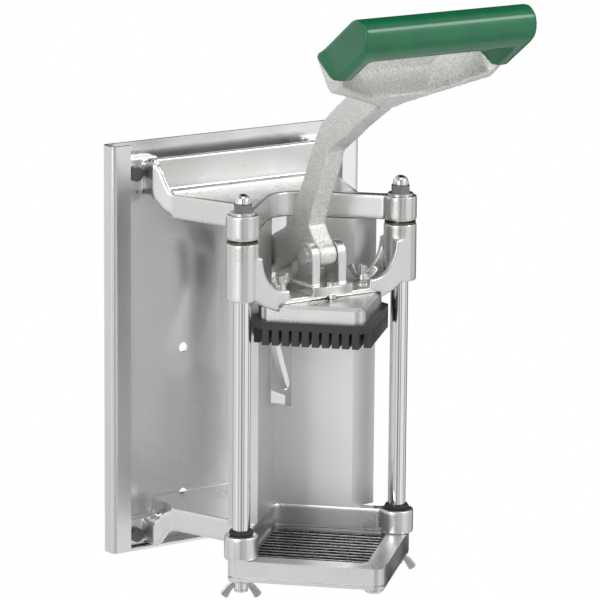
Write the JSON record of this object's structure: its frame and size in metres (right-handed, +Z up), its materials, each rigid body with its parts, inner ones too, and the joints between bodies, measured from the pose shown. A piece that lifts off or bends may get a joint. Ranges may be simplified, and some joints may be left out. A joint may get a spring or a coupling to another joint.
{
  "type": "french fry cutter",
  "caption": "Wall-mounted hand-lever fry cutter: a looped lever drives a toothed pusher down guide rods through a square blade grid, on a folded steel bracket.",
  "frame": {"origin": "centre of the wall bracket's back face, which lies on the wall at y = 0", "axes": "+Z up, +Y into the wall, +X to the right along the wall; the cutter stands out towards -Y"},
  "size_m": [0.2136, 0.2773, 0.4328],
  "materials": {
    "panel_steel": "polished sheet with soft reflections",
    "cast_aluminium": "satin casting with bright edges",
    "raw_casting": "rough sand casting",
    "dark_steel": "blackened",
    "bright_steel": "bright zinc",
    "chromed_rod": "ground and chromed",
    "chromed_nut": "chromed",
    "black_rubber": "moulded",
    "bronze": "sintered bearing metal",
    "green_grip": "dipped, glossy",
    "charcoal_plastic": "moulded",
    "blade_steel": "ground strip"
  },
  "bodies": {
    "stand": {"wall_bracket": "panel_steel", "upper_frame": "cast_aluminium", "column": "cast_aluminium", "lower_frame": "cast_aluminium", "foot_bolts": "dark_steel", "foot_washers": "bright_steel", "guide_rod_left": "chromed_rod", "guide_rod_right": "chromed_rod", "rod_washers": "bright_steel", "domed_nuts": "chromed_nut", "rod_bumpers": "black_rubber", "blade_head": "cast_aluminium", "upper_blades": "blade_steel", "lower_blades": "blade_steel", "keeper_plate": "raw_casting", "head_pins": "bright_steel", "head_foot": "raw_casting", "tail_washers": "bright_steel"},
    "carriage": {"crosshead": "cast_aluminium", "bushings": "bronze", "clevis_bracket": "bright_steel", "clevis_screws": "bright_steel", "pivot_pin": "bright_steel", "pusher_cap": "cast_aluminium", "pusher_studs": "bright_steel", "pusher_block": "charcoal_plastic", "pusher_washers": "bright_steel"},
    "lever": {"handle_casting": "raw_casting", "handle_grip": "green_grip", "heel_pin": "bright_steel", "roller_clips": "dark_steel"},
    "rollers": {"heel_rollers": "bronze"},
    "left_pusher_nut": {"pusher_nut_left": "bright_steel"},
    "right_pusher_nut": {"pusher_nut_right": "bright_steel"},
    "left_head_nut": {"head_nut_left": "bright_steel"},
    "right_head_nut": {"head_nut_right": "bright_steel"}
  },
  "joints": [
    {"name": "carriage_slide", "type": "slide", "parent": "stand", "child": "carriage", "axis": [0, 0, -1], "range_m": [0, 0.16]},
    {"name": "lever_pivot", "type": "hinge", "parent": "carriage", "child": "lever", "pos_m": [0, -0.1236, 0.0803], "axis": [1, 0, 0], "range_deg": [0, 58]},
    {"name": "roller_spin", "type": "hinge", "parent": "lever", "child": "rollers", "pos_m": [0, -0.04574, 0.05797], "axis": [1, 0, 0], "continuous": true},
    {"name": "left_pusher_nut_turn", "type": "hinge", "parent": "carriage", "child": "left_pusher_nut", "pos_m": [-0.035, -0.1236, 0.06], "axis": [0, 0, 1], "continuous": true},
    {"name": "right_pusher_nut_turn", "type": "hinge", "parent": "carriage", "child": "right_pusher_nut", "pos_m": [0.035, -0.1236, 0.06], "axis": [0, 0, 1], "continuous": true},
    {"name": "left_head_nut_turn", "type": "hinge", "parent": "stand", "child": "left_head_nut", "pos_m": [-0.0671, -0.1236, -0.152], "axis": [0, 0, 1], "continuous": true},
    {"name": "right_head_nut_turn", "type": "hinge", "parent": "stand", "child": "right_head_nut", "pos_m": [0.0671, -0.1236, -0.152], "axis": [0, 0, 1], "continuous": true}
  ],
  "couplings": [
    {"joint": "lever_pivot", "follows": "carriage_slide", "rad_per_m": 6.3268}
  ]
}
